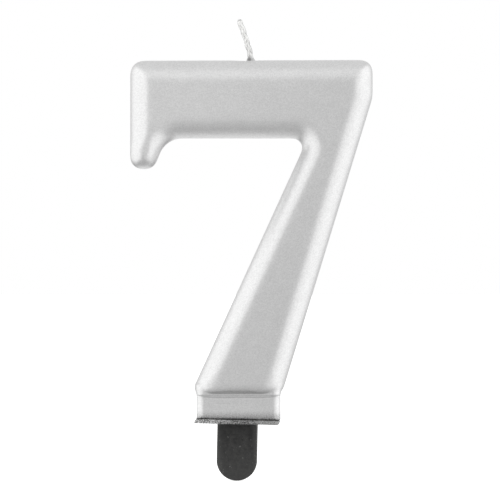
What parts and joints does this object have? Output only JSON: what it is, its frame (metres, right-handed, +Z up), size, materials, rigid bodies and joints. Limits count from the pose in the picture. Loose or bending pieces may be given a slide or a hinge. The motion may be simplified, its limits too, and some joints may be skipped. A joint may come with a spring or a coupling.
{
  "type": "number birthday candle",
  "caption": "Silver number birthday candle, a cast wax figure seven with a plaited wick on top and a black plastic pick below for the cake.",
  "frame": {"origin": "middle of the holder plate's underside, on the pick's axis, where the candle meets the top of the cake", "axes": "+Z up along the candle, from the pick to the wick; +X to the right as the figure is read; the front of the figure faces -Y"},
  "size_m": [0.0508, 0.0126, 0.0969],
  "materials": {
    "wax": "satin",
    "silver_lacquer": "satin",
    "seal_wax": "satin",
    "black_plastic": "matte",
    "cotton": "matte"
  },
  "bodies": {
    "root": {"wax_core": "wax", "silver_coat": "silver_lacquer", "wick_seal": "seal_wax", "cake_pick": "black_plastic", "wick_strand_1": "cotton", "wick_strand_2": "cotton", "wick_strand_3": "cotton"}
  },
  "joints": []
}
